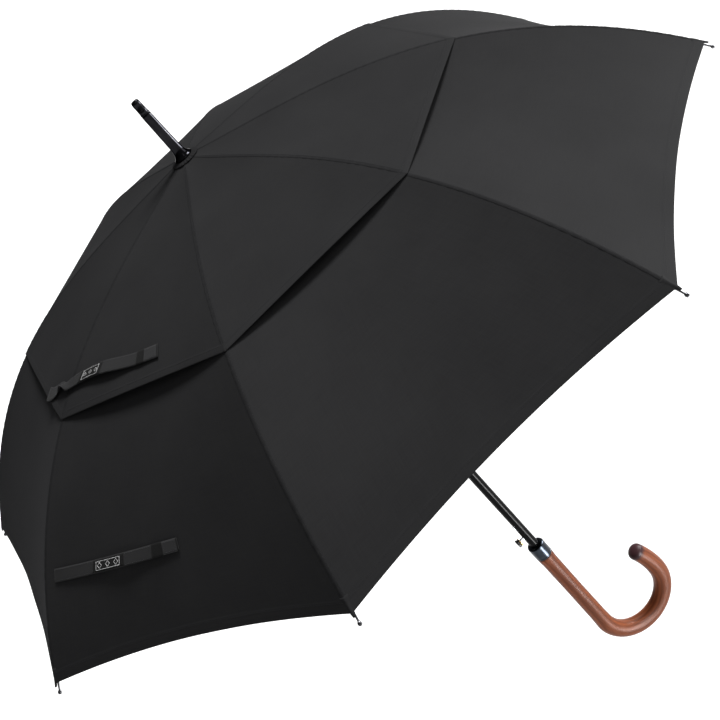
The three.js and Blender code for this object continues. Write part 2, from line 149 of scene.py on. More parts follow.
def object_place(tree):
    return put(tree, "ShaderNodeTexCoord").outputs["Object"]


def weave_map(tree):
    return put(tree, "ShaderNodeUVMap", uv_map="weave").outputs[0]


def yarns(uv, pitch, axis, distortion, detail_scale=1.0):
    """Parallel threads a pitch apart, counted along the axis "X" or "Y" of the weave map."""
    inputs = {"Vector": uv, "Scale": WAVE_PERIOD / pitch, "Distortion": distortion,
              "Detail Scale": detail_scale}
    return put(uv.id_data, "ShaderNodeTexWave", inputs, bands_direction=axis).outputs[1]


def blank(name):
    material = bpy.data.materials.new(name)
    material.use_nodes = True
    return material, material.node_tree, material.node_tree.nodes["Principled BSDF"]


def wire(bsdf, **values):
    for key, value in values.items():
        feed(bsdf.inputs[key.replace("_", " ")], value)


def cloth(name, dark, light, pitch, rough, sheen):
    """Plain-woven cloth: crossing threads, uneven yarn, a slow drift of tone and a faint sheen."""
    material, tree, bsdf = blank(name)
    uv = weave_map(tree)
    warp, weft = (yarns(uv, pitch, axis, 0.4, 40.0) for axis in ("X", "Y"))
    threads = times(warp, weft)
    slub_a = noise(stretched(uv, (40, 900, 1)), 1.0)
    slub_b = noise(stretched(uv, (900, 40, 1)), 1.0)
    slub = plus(slub_a, slub_b)
    drift = noise(object_place(tree), 9.0, 2.0)
    tone = plus(times(span(slub, 0.7, 1.3), 0.45), times(span(drift, 0.3, 0.7), 0.35))
    tone = plus(tone, times(threads, 0.2))
    normal = bump(plus(threads, times(slub, 0.6)), 0.30, pitch * 0.12)
    roughness = span(slub, 0.6, 1.4, rough - 0.07, rough + 0.07)
    wire(bsdf, Base_Color=mix_colour(tone, dark, light), Roughness=roughness, Normal=normal,
         Sheen_Weight=sheen, Sheen_Roughness=0.45, Sheen_Tint=(0.9, 0.92, 1.0), Specular_IOR_Level=0.012)
    return material


def webbing(name, dark, light, pitch, rough):
    """Narrow woven tape: ribs across its length, with a thread pattern."""
    material, tree, bsdf = blank(name)
    uv = weave_map(tree)
    ribs = yarns(uv, pitch, "X", 0.3)
    yarn = yarns(uv, pitch * 0.7, "Y", 0.6)
    grain = noise(stretched(uv, (500, 1600, 1)), 1.0)
    height = plus(ribs, times(yarn, 0.5))
    tone = plus(times(height, 0.3), times(grain, 0.5))
    wire(bsdf, Base_Color=mix_colour(tone, dark, light), Sheen_Weight=0.02,
         Roughness=span(grain, 0.3, 0.7, rough - 0.08, rough + 0.08),
         Normal=bump(height, 0.5, pitch * 0.2), Specular_IOR_Level=0.08)
    return material


def metal(name, dark, light, rough, stretch, worn=0.0, metallic=1.0, specular=0.5, edge_tint=1.0):
    """Plated or painted metal with fine drawn lines, handling smears and small rubbed spots."""
    material, tree, bsdf = blank(name)
    where = object_place(tree)
    lines = noise(stretched(where, stretch), 1.0, 4.0, 0.6)
    smear = noise(where, 55.0, 3.0)
    pits = noise(where, 700.0, 2.0)
    tone = plus(times(span(lines, 0.35, 0.65), 0.6),
                times(span(smear, 0.35, 0.65), 0.4))
    colour = mix_colour(tone, dark, light)
    if worn:
        edge = span(times(pits, smear), 0.36, 0.44)
        colour = mix_colour(times(edge, worn), colour, RUBBED_METAL)
    roughness = span(plus(smear, lines), 0.7, 1.3, rough * 0.75, rough * 1.3)
    normal = bump(plus(lines, times(pits, 0.3)), 0.06, 0.0002)
    wire(bsdf, Base_Color=colour, Metallic=metallic, Roughness=roughness, Normal=normal,
         Specular_IOR_Level=specular, Specular_Tint=(edge_tint, edge_tint, edge_tint))
    return material


def plastic(name, dark, light, rough, coat=0.0):
    """Moulded plastic: a fine spark-eroded grain, flow streaks and scuffs."""
    material, tree, bsdf = blank(name)
    where = object_place(tree)
    grain = noise(where, 1500.0, 2.0)
    flow = noise(stretched(where, (60, 60, 160)), 1.0, 3.0)
    wire(bsdf, Base_Color=mix_colour(flow, dark, light), Coat_Weight=coat, Coat_Roughness=0.06,
         Roughness=span(flow, 0.3, 0.7, rough - 0.06, rough + 0.1),
         Normal=bump(grain, 0.12, 0.0002), Specular_IOR_Level=0.12)
    return material


def lacquered_wood(name):
    """Red-brown bentwood under satin lacquer; the grain follows the bend, and the nose is darkened, partly as
    end-grain stain and partly as painted shade.
    """
    material, tree, bsdf = blank(name)
    grain = put(tree, "ShaderNodeAttribute", attribute_name="grain").outputs["Vector"]
    along = put(tree, "ShaderNodeSeparateXYZ", {"Vector": grain}).outputs[0]
    wave = {"Vector": stretched(grain, (1.4, 60, 26)), "Scale": 1.0, "Distortion": 5.0,
            "Detail": 3.0, "Detail Scale": 1.2, "Detail Roughness": 0.6}
    bands = put(tree, "ShaderNodeTexWave", wave, wave_type="BANDS", bands_direction="Y").outputs[1]
    fibres = noise(stretched(grain, (28, 1500, 1500)), 1.0, 5.0, 0.65)
    pores = noise(stretched(grain, (110, 2400, 2400)), 1.0, 2.0, 0.5)
    clouds = noise(stretched(grain, (7, 45, 45)), 1.0, 3.0)
    tone = plus(times(bands, 0.34), times(span(fibres, 0.3, 0.7), 0.36))
    tone = plus(tone, times(span(clouds, 0.3, 0.7), 0.3))
    colour = mix_colour(tone, WOOD_DARK, WOOD_LIGHT)
    pore = span(pores, 0.62, 0.70)
    colour = mix_colour(times(pore, 0.6), colour, WOOD_PORE)
    ragged = plus(along, times(fibres, 0.004))
    # the nose's dark end: partly end-grain stain, partly painted shade of the end turned away from the light
    nose_stain_and_shade = span(ragged, HANDLE_LENGTH - 0.0135, HANDLE_LENGTH - 0.007)
    height = math_node(tree, "SUBTRACT", times(fibres, 0.5), pore)
    wire(bsdf, Base_Color=mix_colour(nose_stain_and_shade, colour, WOOD_NOSE_STAIN_AND_SHADE),
         Normal=bump(height, 0.16, 0.0003), Roughness=span(fibres, 0.3, 0.7, 0.34, 0.46),
         Specular_IOR_Level=0.11)
    return material


def backdrop_paint():
    material, tree, bsdf = blank("studio_white")
    tone = noise(object_place(tree), 0.8, 2.0)
    wire(bsdf, Base_Color=mix_colour(tone, (0.30, 0.30, 0.30), (0.31, 0.31, 0.31)), Roughness=0.9,
         Emission_Color=(1.0, 1.0, 1.0), Emission_Strength=0.90, Specular_IOR_Level=0.0)
    return material


# ---- mesh making
class Soup:
    """Vertices and faces of one piece, gathered from several closed bodies. Lengths are in millimetres."""

    def __init__(self):
        self.points, self.faces, self.uvs, self.normals, self.kinds, self.grain = [], [], [], [], [], []
        self.count = 0

    def add(self, points, faces, uvs=None, normals=None, kind=0, grain=None):
        points = np.asarray(points, float).reshape(-1, 3)
        n = len(points)
        self.points.append(points)
        for group in faces:
            group = np.asarray(group, int)
            self.faces.append(group + self.count)
            self.kinds.append(np.full(len(group), kind))
        for store, values, width in ((self.uvs, uvs, 2), (self.normals, normals, 3), (self.grain, grain, 3)):
            store.append(np.zeros((n, width)) if values is None else np.reshape(values, (n, width)))
        self.count += n

    def build(self, name, materials, body, slot, node=None, grain=False, sharp=None, custom=False):
        """Makes the object on its body, in place of a CAD node if one is named."""
        mesh = bpy.data.meshes.new(name)
        points = np.concatenate(self.points) * MM
        faces = [face for group in self.faces for face in group.tolist()]
        mesh.from_pydata(points.tolist(), [], faces)
        mesh.polygons.foreach_set("use_smooth", np.ones(len(faces), bool))
        mesh.polygons.foreach_set("material_index", np.concatenate(self.kinds).astype(np.int32))
        corner = np.zeros(len(mesh.loops), np.int32)
        mesh.loops.foreach_get("vertex_index", corner)
        layer = mesh.uv_layers.new(name="weave")
        layer.data.foreach_set("uv", (np.concatenate(self.uvs)[corner] * MM).astype(np.float32).ravel())
        if grain:
            values = mesh.attributes.new("grain", "FLOAT_VECTOR", "POINT")
            values.data.foreach_set("vector", (np.concatenate(self.grain) * MM).astype(np.float32).ravel())
        if sharp is not None:
            mesh.set_sharp_from_angle(angle=math.radians(sharp))
        if custom:
            mesh.normals_split_custom_set_from_vertices(np.concatenate(self.normals).tolist())
        for material in materials:
            mesh.materials.append(material)
        piece = add_object(name, mesh)
        if body:
            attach(piece, body)
        if node:
            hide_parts(node)
        return piece


def quads(rows, columns, wrap_rows=False, wrap_columns=False):
    i = np.arange(rows if wrap_rows else rows - 1)[:, None]
    j = np.arange(columns if wrap_columns else columns - 1)[None, :]
    a = i * columns + j
    b = i * columns + (j + 1) % columns
    c = ((i + 1) % rows) * columns + (j + 1) % columns
    d = ((i + 1) % rows) * columns + j
    return np.stack([a, b, c, d], -1).reshape(-1, 4)


def end_fans(rows, columns):
    """Closes both ends of rows of points round an axis; the two centre points follow the rows."""
    j = np.arange(columns)
    ahead = (j + 1) % columns
    last = (rows - 1) * columns
    low, high = rows * columns, rows * columns + 1
    return [np.stack([ahead, j, np.full(columns, low)], -1),
            np.stack([last + j, last + ahead, np.full(columns, high)], -1)]


def grid_normals(grid):
    """Vertex normals of a grid whose rows close into a loop, from the faces round each vertex."""
    rows, columns = grid.shape[:2]
    flat = grid.reshape(-1, 3)
    faces = quads(rows, columns, wrap_rows=True)
    across = np.cross(flat[faces[:, 2]] - flat[faces[:, 0]], flat[faces[:, 3]] - flat[faces[:, 1]])
    total = np.zeros_like(flat)
    for corner in range(4):
        np.add.at(total, faces[:, corner], across)
    total /= np.maximum(np.linalg.norm(total, axis=1, keepdims=True), 1e-12)
    return total.reshape(rows, columns, 3)


def headings(path):
    along = np.gradient(path, axis=0)
    return along / np.linalg.norm(along, axis=1, keepdims=True)


def lengths_along(path):
    return np.concatenate([[0], np.cumsum(np.linalg.norm(np.diff(path, axis=0), axis=1))])


def lathe(soup, profile, segments, centre, turn=None, kind=0, pleat=None):
    """Turns a closed loop of (radius, height) about Z, or an open one that starts and ends on the axis."""
    profile = np.array(profile, float)
    solid = profile[0, 0] == 0
    angles = np.arange(segments) * 2 * math.pi / segments
    ring = profile[1:-1] if solid else profile
    radius = ring[:, 0][:, None] * np.ones(segments)
    height = ring[:, 1][:, None] * np.ones(segments)
    if pleat is not None:
        radius, height = pleat(radius, height, angles)
    points = np.stack([radius * np.cos(angles), radius * np.sin(angles), height], -1)
    n = len(ring)
    faces = [quads(n, segments, wrap_rows=not solid, wrap_columns=True)]
    flat = points.reshape(-1, 3)
    if solid:
        flat = np.vstack([flat, [0, 0, profile[0, 1]], [0, 0, profile[-1, 1]]])
        faces += end_fans(n, segments)
    if turn is not None:
        flat = flat @ np.array(turn.to_3x3()).T
    soup.add(flat + np.array(centre), faces, kind=kind)


def sweep(soup, path, section, grain=None):
    """Skins a closed section of (side, up) along a path in the XZ plane; the section may change along it."""
    along = headings(path)
    side = np.array([0.0, 1.0, 0.0])
    up = np.cross(along, side)
    section = np.asarray(section, float)
    if section.ndim == 2:
        section = np.repeat(section[None], len(path), 0)
    points = path[:, None] + section[..., :1] * side + section[..., 1:] * up[:, None]
    n, m = section.shape[:2]
    faces = [face[:, ::-1] for face in (quads(n, m, wrap_columns=True), *end_fans(n, m))]
    flat = np.vstack([points.reshape(-1, 3), points[0].mean(0), points[-1].mean(0)])
    extra = None
    if grain is not None:
        g = np.concatenate([np.repeat(grain[:, None, None], m, 1), section], -1).reshape(-1, 3)
        extra = np.vstack([g, [grain[0], 0, 0], [grain[-1], 0, 0]])
    soup.add(flat, faces, grain=extra)


def round_section(width, height, corner, steps):
    """A rectangle with rounded corners as a list of (side, up)."""
    out = []
    for cx, cy, start in ((1, 1, 0), (-1, 1, 90), (-1, -1, 180), (1, -1, 270)):
        for k in range(steps + 1):
            a = math.radians(start + 90 * k / steps)
            out.append((cx * (width / 2 - corner) + corner * math.cos(a),
                        cy * (height / 2 - corner) + corner * math.sin(a)))
    return out


def stitches(soup, starts, ends, normals, radius):
    """Small lens-shaped thread passes, in the piece's second material."""
    along = ends - starts
    along /= np.maximum(np.linalg.norm(along, axis=1, keepdims=True), 1e-9)
    side = np.cross(normals, along)
    up = np.cross(along, side)
    rings = []
    stations = ((0.0, 0.25, -0.5), (0.2, 0.9, 0.0), (0.5, 1.0, 0.25), (0.8, 0.9, 0.0), (1.0, 0.25, -0.5))
    for share, size, lift in stations:
        centre = starts + (ends - starts) * share + normals * radius * lift
        ring = [centre + (side * c + up * s) * radius * size for c, s in ((1, 0), (0, 1), (-1, 0), (0, -1))]
        rings.append(np.stack(ring, 1))
    block = np.stack(rings, 1).reshape(-1, 3)
    n = len(starts)
    caps = np.array([[3, 2, 1, 0], [16, 17, 18, 19]])
    faces = np.concatenate([quads(5, 4, wrap_columns=True), caps])[:, ::-1]
    every = (np.arange(n)[:, None, None] * 20 + faces[None]).reshape(-1, 4)
    soup.add(block, [every], kind=1)


# ---- canopy surface, in millimetres
RIBS = 8
FIRST_RIB = math.radians(-67.5)
HALF = math.pi / RIBS
RADIUS = 560.0  # of the lower canopy's corners
TOP = 880.0  # height of the ribs' line on the axis
LOWER_IN = 226.0
UPPER_IN = 13.5
VENT = 334.0  # radius of the upper canopy's corners
LOWER_SAG = 8.0
UPPER_LIFT = 1.3
HEM = 9.0
HEM_CURVE = 9.0
HEM_STITCH = 7.2  # stitch line, inside the edge
STITCH_LIFT = 0.24
CLOTH = 0.5
CHORD = math.sin(HALF) * math.cos(HALF)


def rib_angle(k):
    return FIRST_RIB + 2 * HALF * (k - 1)


def fall(r):
    """How far the rib line has dropped at radius r."""
    s = r / RADIUS
    return RADIUS * (0.16 * s - 0.126 * s * s + 0.436 * s ** 3)


def tilt(r):
    """The rib line's slope below level at radius r."""
    s = r / RADIUS
    return np.arctan(0.16 - 0.252 * s + 1.308 * s * s)


def bulge(t):
    """0 at a rib and 1 at mid-panel, where it levels out."""
    return np.abs(t) * (2 - np.abs(t))


def surface(layer, azimuth, r, t):
    """Upper face of the cloth: r from the shaft, t across a panel from a rib (0) to mid-panel (1 or -1)."""
    r, t = np.broadcast_arrays(np.asarray(r, float), np.asarray(t, float))
    over = np.where(np.abs(t) > 1, np.sign(t), 0.0)
    t = t - 2 * over
    azimuth = azimuth + over * 2 * HALF
    x = r * (1 - np.abs(t) * math.sin(HALF) ** 2)
    y = r * t * CHORD
    angle = azimuth + np.arctan2(y, x)
    open_part = np.sin(np.pi * np.abs(t) / 2)
    slack = 0.45 * np.sin(r / 46 + 2.1 * np.sin(3 * angle)) + 0.3 * np.sin(r / 23 + 4 * angle + 1.7)
    pucker = 0.16 * np.exp(-np.abs(y) / 11) * (1 - np.abs(t)) ** 2
    pucker = pucker * np.sin(r * 0.62 + 1.6 * np.sin(r / 29 + 3 * azimuth))
    if layer == "lower":
        depth = LOWER_SAG * bulge(t) + 0.8 * open_part * slack - pucker
        near_hem = np.exp(-((RADIUS - r) / 26) ** 2)
        depth = depth + 0.5 * near_hem * open_part * np.sin(23 * angle + 0.6 * np.sin(5 * angle))
    else:
        s = r / VENT
        depth = (8 * s * (1 - s) - 1.2 * s ** 4) * bulge(t) - UPPER_LIFT
        depth = depth + 0.5 * open_part * slack * s - pucker * np.minimum(s * 2, 1)
    lean = tilt(r)
    turn = HALF * t
    px = x - depth * np.sin(lean) * np.cos(turn)
    py = y - depth * np.sin(lean) * np.sin(turn)
    pz = TOP - fall(r) - depth * np.cos(lean)
    ca, sa = np.cos(azimuth), np.sin(azimuth)
    return np.stack([px * ca - py * sa, px * sa + py * ca, pz], -1)


def surface_normal(layer, azimuth, r, t):
    """Outward unit normal; on a rib it is the one of the side that t's sign names."""
    t = np.asarray(t, float)
    side = np.where(t < 0, -1.0, 1.0)
    step = 0.004
    t_mid = np.where(np.abs(t) < step, side * step, t)
    dr = surface(layer, azimuth, r + 0.6, t_mid) - surface(layer, azimuth, r - 0.6, t_mid)
    dt = surface(layer, azimuth, r, t_mid + step) - surface(layer, azimuth, r, t_mid - step)
    n = np.cross(dr, dt)
    return n / np.linalg.norm(n, axis=-1, keepdims=True)


def half_width(r):
    return r * CHORD


def hem_radius(layer, t):
    return RADIUS - HEM_CURVE * bulge(t) if layer == "lower" else VENT + 0 * t


# Over the hem's top, from inside to the edge: distance inside the edge, height above the cloth's face.
HEM_ROWS = [(HEM + 0.6, 0.0), (HEM, 0.06), (HEM - 0.6, 0.20), (HEM - 1.3, 0.25), (7.0, 0.20), (5.6, 0.25),
            (3.4, 0.30), (1.4, 0.27), (0.5, 0.16), (0.08, -0.05)]


def on_cloth(layer, azimuth, r, t, lift):
    """Places a height above the cloth, and the cloth's normals there."""
    normal = surface_normal(layer, azimuth, r, t)
    return surface(layer, azimuth, r, t) + normal * lift, normal


def panel_half(layer, k, side):
    """Half a panel of cloth, from its rib to the middle of the gore, closed all round, with its hem."""
    azimuth = rib_angle(k)
    inner = LOWER_IN if layer == "lower" else UPPER_IN
    n_rows, n_cols = (66, 40) if layer == "lower" else (58, 30)
    t = (np.arange(n_cols + 1) / n_cols) ** 1.15
    t = np.append(t, 2 - t[-2]) * side
    edge = hem_radius(layer, np.where(np.abs(t) > 1, t - 2 * side, t))
    rows = [(inner + (edge - HEM - 1.2 - inner) * f, 0.0) for f in np.linspace(0, 1, n_rows)[:-1]]
    rows += [(edge - inside, height) for inside, height in HEM_ROWS]
    rows_r, rows_h = zip(*rows)
    under_h = [-CLOTH - min(max(h, 0), 0.3) * 0.8 for h in rows_h]
    r = np.array(rows_r + rows_r[::-1])
    h = np.array(list(rows_h) + under_h[::-1])[:, None]
    tt = np.broadcast_to(t, r.shape)
    up = surface_normal(layer, azimuth, r, tt)
    grid = surface(layer, azimuth, r, tt) + up * h[..., None]
    grid, normals = grid[:, :-1], -side * grid_normals(grid)[:, :-1]
    m, c = grid.shape[:2]
    i = np.arange(m // 2 - 1)
    faces = [quads(m, c, wrap_rows=True)]
    for column, flip in ((0, True), (c - 1, False)):
        a, b = i * c + column, (i + 1) * c + column
        d, e = (m - 1 - i) * c + column, (m - 2 - i) * c + column
        faces.append(np.stack([a, d, e, b] if flip else [a, b, e, d], -1))
    if side > 0:
        faces = [f[:, ::-1] for f in faces]
    soup = Soup()
    soup.add(grid, faces, uvs=np.stack([r, half_width(r) * tt], -1)[:, :-1], normals=normals)
    hem_stitches(soup, layer, azimuth, side)
    name = f"{layer}_panel_{k}_{'a' if side > 0 else 'b'}"
    piece = soup.build(name, [FABRIC, THREAD], f"rib_{k}", "canopy_fabric", custom=True)
    fold_with_rib(piece)
    return piece


def sew(soup, layer, azimuth, spots, radius):
    """Thread passes on the cloth; spots holds the (r, t) of their starts and the (r, t) of their ends."""
    (starts, normals), (ends, _) = (on_cloth(layer, azimuth, r, t, STITCH_LIFT) for r, t in spots)
    stitches(soup, starts, ends, normals, radius)


def hem_stitches(soup, layer, azimuth, side):
    t_line = np.linspace(0, 1, 400) * side
    line = surface(layer, azimuth, hem_radius(layer, t_line) - HEM_STITCH, t_line)
    length = lengths_along(line)
    marks = np.arange(1.0, length[-1] - 1.0, 3.2)
    ends = [np.interp(marks + shift, length, t_line) for shift in (-1.15, 1.15)]
    sew(soup, layer, azimuth, [(hem_radius(layer, t) - HEM_STITCH, t) for t in ends], 0.19)


def fold_with_rib(piece):
    """Gives the piece its own copy of its mesh."""
    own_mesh(piece)


def band_between(top, under):
    """A closed band from its upper and lower face, two grids of points: the points and the faces."""
    loop = np.concatenate([top, under[:, ::-1]], 1)
    n, m = loop.shape[:2]
    j = np.arange(m // 2 - 1)
    last = (n - 1) * m
    faces = [quads(n, m, wrap_columns=True)[:, ::-1],
             np.stack([j, j + 1, m - 2 - j, m - 1 - j], -1),
             np.stack([last + j, last + m - 1 - j, last + m - 2 - j, last + j + 1], -1)]
    return loop, faces


def band_on_rib(layer, k, r, half, width, swell, depth, map_gap):
    """A closed band of cloth along rib k; half lists (share of width, height above the cloth) on one side."""
    away, height = np.array(half).T
    y = np.concatenate([-away[::-1], away]) * width
    lift = np.concatenate([height[::-1], height]) * swell
    t = y / half_width(r)
    top, up = on_cloth(layer, rib_angle(k), r + 0 * y, t, lift[..., None])
    loop, faces = band_between(top, surface(layer, rib_angle(k), r + 0 * y, t) - up * depth)
    uv = np.stack([np.broadcast_to(r, loop.shape[:2]), np.concatenate([y, y[:, ::-1] + map_gap], 1)], -1)
    soup = Soup()
    soup.add(loop, faces, uvs=uv)
    return soup


def seam_narrowing(r):
    """Seams narrow towards the crown."""
    return np.clip(r / 46.0, 0.35, 1.0)


def seam(layer, k):
    """A felled seam over a rib: a low band with two raised welts and a row of thread along each."""
    low, high = (250.0, RADIUS - 1.0) if layer == "lower" else (15.0, VENT - 0.5)
    r = np.linspace(low, high, int((high - low) / (2.6)))[:, None]
    half = [(0.01, 0.03), (0.5, 0.07), (1.1, 0.20), (1.6, 0.28), (2.1, 0.20), (2.5, 0.06), (3.0, -0.1)]
    soup = band_on_rib(layer, k, r, half, seam_narrowing(r), 1 + 0.12 * np.sin(r * 1.9), 0.35, 20)
    marks = np.arange(low + 3, high - 3, 3.4)
    for line in (-1.6, 1.6):
        away = line * seam_narrowing(marks)
        spots = [(place, away / half_width(place)) for place in (marks - 1.2, marks + 1.2)]
        sew(soup, layer, rib_angle(k), spots, 0.17)
    soup.build(f"{layer}_seam_{k}", [SEAM, THREAD], f"rib_{k}", "canopy_fabric")


def corner_tab(k):
    """The pointed pocket of doubled cloth that the hem makes over a rib's end."""
    r = np.linspace(RADIUS - 11, RADIUS + 2.6, 10)[:, None]
    share = (r - r[0]) / (r[-1] - r[0])
    half = [(0.02, 0.55), (0.25, 0.52), (0.5, 0.42), (0.8, 0.2), (1.0, -0.15)]
    width = 3.4 * (1 - share) ** 0.8 + 1.7
    soup = band_on_rib("lower", k, r, half, width, 0.8 + 0.4 * share, 0.55, 30)
    soup.build(f"corner_tab_{k}", [FABRIC], f"rib_{k}", "canopy_fabric")


# ---- ribs and stretchers
PIVOT = 12.3
CROWN_Z = 873.0
JOINT_R = 350.0
JOINT_DROP = 8.3
RIB_CENTRE = 3.3  # below the cloth's upper face
RIB_END = 549.2
THREAD_TIES = (60, 130, 205, 270, 345, 430, 505)


def rib_point(r, depth):
    """A place in the rib's own XZ plane, depth below the cloth's upper face."""
    r = np.asarray(r, float)
    lean = tilt(r)
    return np.stack([r - depth * np.sin(lean), 0 * r, TOP - fall(r) - depth * np.cos(lean)], -1)


JOINT = rib_point(JOINT_R, JOINT_DROP)
RUNNER_Z = 2 * JOINT[2] - CROWN_Z


def turned_to(soup, k):
    """Turns a piece made in the XZ plane to rib k's."""
    a = rib_angle(k)
    c, s = math.cos(a), math.sin(a)
    spin = np.array([[c, -s, 0], [s, c, 0], [0, 0, 1]])
    soup.points = [p @ spin.T for p in soup.points]


def channel(width, depth, wall, groove):
    """A channel open downwards; groove is how deep it is."""
    w, d = width / 2, depth / 2
    return [(w, d - 0.35), (w - 0.35, d), (-w + 0.35, d), (-w, d - 0.35), (-w, -d), (-w + wall, -d),
            (-w + wall, -d + groove), (w - wall, -d + groove), (w - wall, -d), (w, -d)]


def pin(soup, place, radius, length, head, kind):
    """A rivet across the rib, with a domed head each end."""
    half = length / 2
    top = [(radius, half), (head, half), (head, half + 0.1), (head * 0.6, half + 0.6), (0, half + 0.7)]
    profile = [(r, -z) for r, z in reversed(top)] + top
    lathe(soup, profile, 16, place, Matrix.Rotation(math.radians(-90), 4, "X"), kind)


def eye(soup, place, bore, radius, swell):
    """The round end of a link, with its hole across the rib."""
    loop = [(bore, -1), (radius, -1), (radius + swell, -0.8), (radius + swell, 0.8), (radius, 1), (bore, 1)]
    lathe(soup, loop, 24, tuple(place), Matrix.Rotation(math.radians(90), 4, "X"))


def plate(soup, centre, length, height, thick, y, slant):
    """A small lug with rounded ends, thick across the rib: a stadium outline in the XZ plane."""
    outline = []
    r = length / 2
    for start, cz in ((0, height / 2 - r), (180, -height / 2 + r)):
        for q in range(7):
            a = math.radians(start + 180 * q / 6)
            outline.append((r * math.cos(a), cz + r * math.sin(a)))
    outline = np.array(outline)
    c, s = math.cos(slant), math.sin(slant)
    x = outline[:, 0] * c + outline[:, 1] * s
    z = -outline[:, 0] * s + outline[:, 1] * c
    rings = []
    face, edge = thick / 2, thick / 2 - 0.12
    for offset, inset in ((-face, 0.9), (-edge, 1.0), (edge, 1.0), (face, 0.9)):
        ring = [centre[0] + x * inset, np.full(len(x), y + offset), centre[2] + z * inset]
        rings.append(np.stack(ring, -1))
    points = np.vstack([*rings, rings[0].mean(0), rings[-1].mean(0)])
    soup.add(points, [quads(4, len(x), wrap_columns=True), *end_fans(4, len(x))])


def rib_frame(k):
    """A channel rib with a flat inner end, two lugs and a pin for the stretcher, and its thread ties."""
    soup = Soup()
    sweep(soup, rib_point(np.linspace(27, 549, 60), RIB_CENTRE), channel(3.6, 3.0, 0.8, 2.2))
    bends = rib_point(np.array([22.0, 27.5, 31.0]), RIB_CENTRE)
    inner = np.array([(PIVOT, 0, CROWN_Z), (PIVOT + 4, 0, CROWN_Z + 0.1), *bends])
    fine = np.stack([np.interp(np.linspace(0, 4, 17), range(5), inner[:, a]) for a in range(3)], -1)
    sweep(soup, fine, round_section(2.0, 2.7, 0.5, 2))
    eye(soup, (PIVOT, 0, CROWN_Z), 1.0, 2.0, 0.2)
    for side in (-1, 1):
        plate(soup, (rib_point(JOINT_R, 4.4) + JOINT) / 2, 5.6, 8.8, 0.85, side * 1.84, float(tilt(JOINT_R)))
    pin(soup, tuple(JOINT), 0.8, 4.6, 1.7, 1)
    turns = np.linspace(0, 4 * math.pi, 40)
    for place in THREAD_TIES:
        lean = float(tilt(place))
        above = (math.sin(lean), 0, math.cos(lean))
        ahead = (math.cos(lean), 0, -math.sin(lean))
        helix = rib_point(float(place), RIB_CENTRE) + np.outer(np.cos(turns) * 2.15, (0, 1, 0))
        helix = helix + np.outer(np.sin(turns) * 1.9 + 0.35, above)
        tube(soup, helix + np.outer((turns - 2 * math.pi) * 0.07, ahead), 0.24, 6, 2)
    turned_to(soup, k)
    soup.build(f"rib_frame_{k}", [ENAMEL, STEEL, THREAD], f"rib_{k}", "rib_metal", f"rib_{k}", sharp=40)


def tube(soup, path, radius, sides, kind=0):
    """A round wire along any path, ends closed."""
    along = headings(path)
    guide = np.cross(along[0], (0.0, 0.0, 1.0))
    if np.linalg.norm(guide) < 0.1:
        guide = np.cross(along[0], (1.0, 0.0, 0.0))
    frames = []
    for direction in along:
        guide = guide - direction * float(guide @ direction)
        guide = guide / np.linalg.norm(guide)
        frames.append(guide)
    first = np.array(frames)
    second = np.cross(along, first)
    a = np.arange(sides) * 2 * math.pi / sides
    size = np.broadcast_to(np.asarray(radius, float), (len(path),))[:, None, None]
    ring = path[:, None] + size * (first[:, None] * np.cos(a)[:, None] + second[:, None] * np.sin(a)[:, None])
    flat = np.vstack([ring.reshape(-1, 3), path[0], path[-1]])
    soup.add(flat, [quads(len(path), sides, wrap_columns=True), *end_fans(len(path), sides)], kind=kind)


def stretcher(k):
    """A channel bar whose ends flatten into eyes, from the runner to the rib's joint."""
    soup = Soup()
    low = np.array([PIVOT, 0, RUNNER_Z])
    length = float(np.linalg.norm(JOINT - low))
    stations = np.array([0, 4, 9, 13, 16, 20, 40, 120, 200, 280, length - 26, length - 18, length - 14,
                         length - 10, length - 5, length])
    sections = []
    for s in stations:
        full = float(np.clip((min(s, length - s) - 9) / 8, 0, 1))
        full = full * full * (3 - 2 * full)
        sections.append([(x, -y) for x, y in channel(2.0 + 1.2 * full, 3.0, 0.72, 0.05 + 2.1 * full)])
    sweep(soup, low + stations[:, None] * (JOINT - low) / length, sections)
    for place in (low, JOINT):
        eye(soup, place, 0.9, 2.1, 0.25)
    turned_to(soup, k)
    soup.build(f"stretcher_bar_{k}", [ENAMEL], f"stretcher_{k}", "rib_metal", f"stretcher_{k}", sharp=40)


def rib_end(k):
    """A crimped sleeve, a thin stem and a small ball; thread holds the cloth's corner to it."""
    start = rib_point(RIB_END, 3.8)
    lean = float(tilt(RADIUS))
    turn = Matrix.Rotation(math.pi / 2 + lean, 4, "Y")
    profile = [(0, 0.3), (1.7, 0.3), (2.0, 0.6), (2.0, 4.6), (1.75, 5.2), (1.75, 6.0), (2.0, 6.6),
               (2.0, 13.6), (1.7, 15.0), (1.25, 16.4), (1.15, 18.0), (1.1, 24.6), (1.3, 25.4), (1.95, 26.1),
               (2.35, 27.2), (2.4, 27.9), (2.15, 29.0), (1.5, 29.8), (0.7, 30.15), (0, 30.2)]
    soup = Soup()
    lathe(soup, profile, 28, tuple(start), turn)
    winds = np.linspace(0, 2 * math.pi * 5, 90)
    local = np.stack([2.2 * np.cos(winds), 2.2 * np.sin(winds), 9.5 + winds * 0.085], -1)
    tube(soup, local @ np.array(turn.to_3x3()).T + start, 0.26, 6, 1)
    turned_to(soup, k)
    soup.build(f"rib_end_{k}", [TIP, THREAD], f"rib_{k}", "tip_metal", f"rib_tip_{k}", sharp=50)


